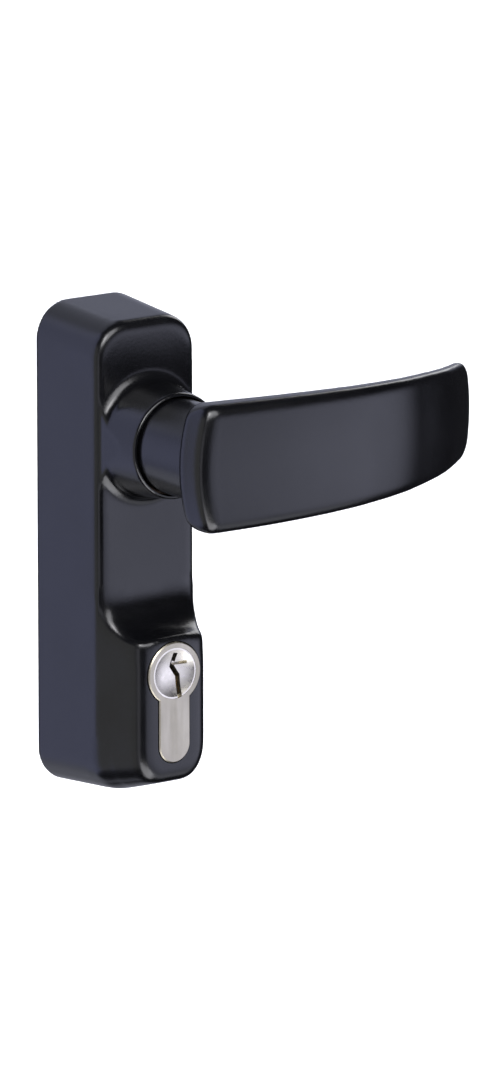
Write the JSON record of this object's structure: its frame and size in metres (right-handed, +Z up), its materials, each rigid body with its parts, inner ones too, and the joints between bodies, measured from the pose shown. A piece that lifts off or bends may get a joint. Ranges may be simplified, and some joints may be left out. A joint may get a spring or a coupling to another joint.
{
  "type": "fire door lock",
  "caption": "Outside lever lock for a fire exit door: drafted black housing with a curved lever handle on a boss and a euro key cylinder in a block below.",
  "frame": {"origin": "on the door face, on the axis of the lever, midway between the fixing pillars", "axes": "+X along the lever towards its tip, +Y into the door, +Z up along the length of the housing"},
  "size_m": [0.1113, 0.0723, 0.1319],
  "materials": {
    "black_casting": "satin black coating on a zinc casting",
    "satin_nickel": "satin nickel plate",
    "polished_nickel": "polished nickel plate",
    "zinc_plated_steel": "bright zinc plate",
    "spring_steel": "oiled spring steel",
    "bronze_bush": "oil-filled sintered bronze",
    "brass": "turned brass"
  },
  "bodies": {
    "housing": {"housing": "black_casting", "bearing_bush": "bronze_bush", "thrust_washer": "zinc_plated_steel", "return_spring": "spring_steel", "back_plate": "zinc_plated_steel", "fixing_pillars": "zinc_plated_steel", "plate_screws": "zinc_plated_steel", "stop_pins": "spring_steel", "slide_guide": "zinc_plated_steel", "guide_rivets": "zinc_plated_steel", "cylinder_body": "satin_nickel", "driver_pins": "brass", "pin_springs": "spring_steel", "chamber_plugs": "brass", "cylinder_screw": "zinc_plated_steel"},
    "lever": {"lever_handle": "black_casting", "drive_hub": "zinc_plated_steel", "hub_circlip": "spring_steel", "cross_pin": "spring_steel"},
    "key_barrel": {"cylinder_plug": "polished_nickel", "plug_circlip": "spring_steel", "cylinder_cam": "satin_nickel", "key_pins": "brass"},
    "slide": {"locking_slide": "zinc_plated_steel"}
  },
  "joints": [
    {"name": "lever_turn", "type": "hinge", "parent": "housing", "child": "lever", "pos_m": [0, 0, 0], "axis": [0, 1, 0], "range_deg": [0, 45], "stiffness_Nm_per_rad": 1.2, "springref_deg": -20.05, "deforming": ["return_spring"]},
    {"name": "key_turn", "type": "hinge", "parent": "housing", "child": "key_barrel", "pos_m": [0, 0, -0.0621], "axis": [0, 1, 0], "range_deg": [0, 90]},
    {"name": "slide_lift", "type": "slide", "parent": "housing", "child": "slide", "axis": [0, 0, 1], "range_m": [0, 0.01485]}
  ],
  "couplings": [
    {"joint": "slide_lift", "follows": "key_turn", "m_per_rad": 0.009453}
  ]
}
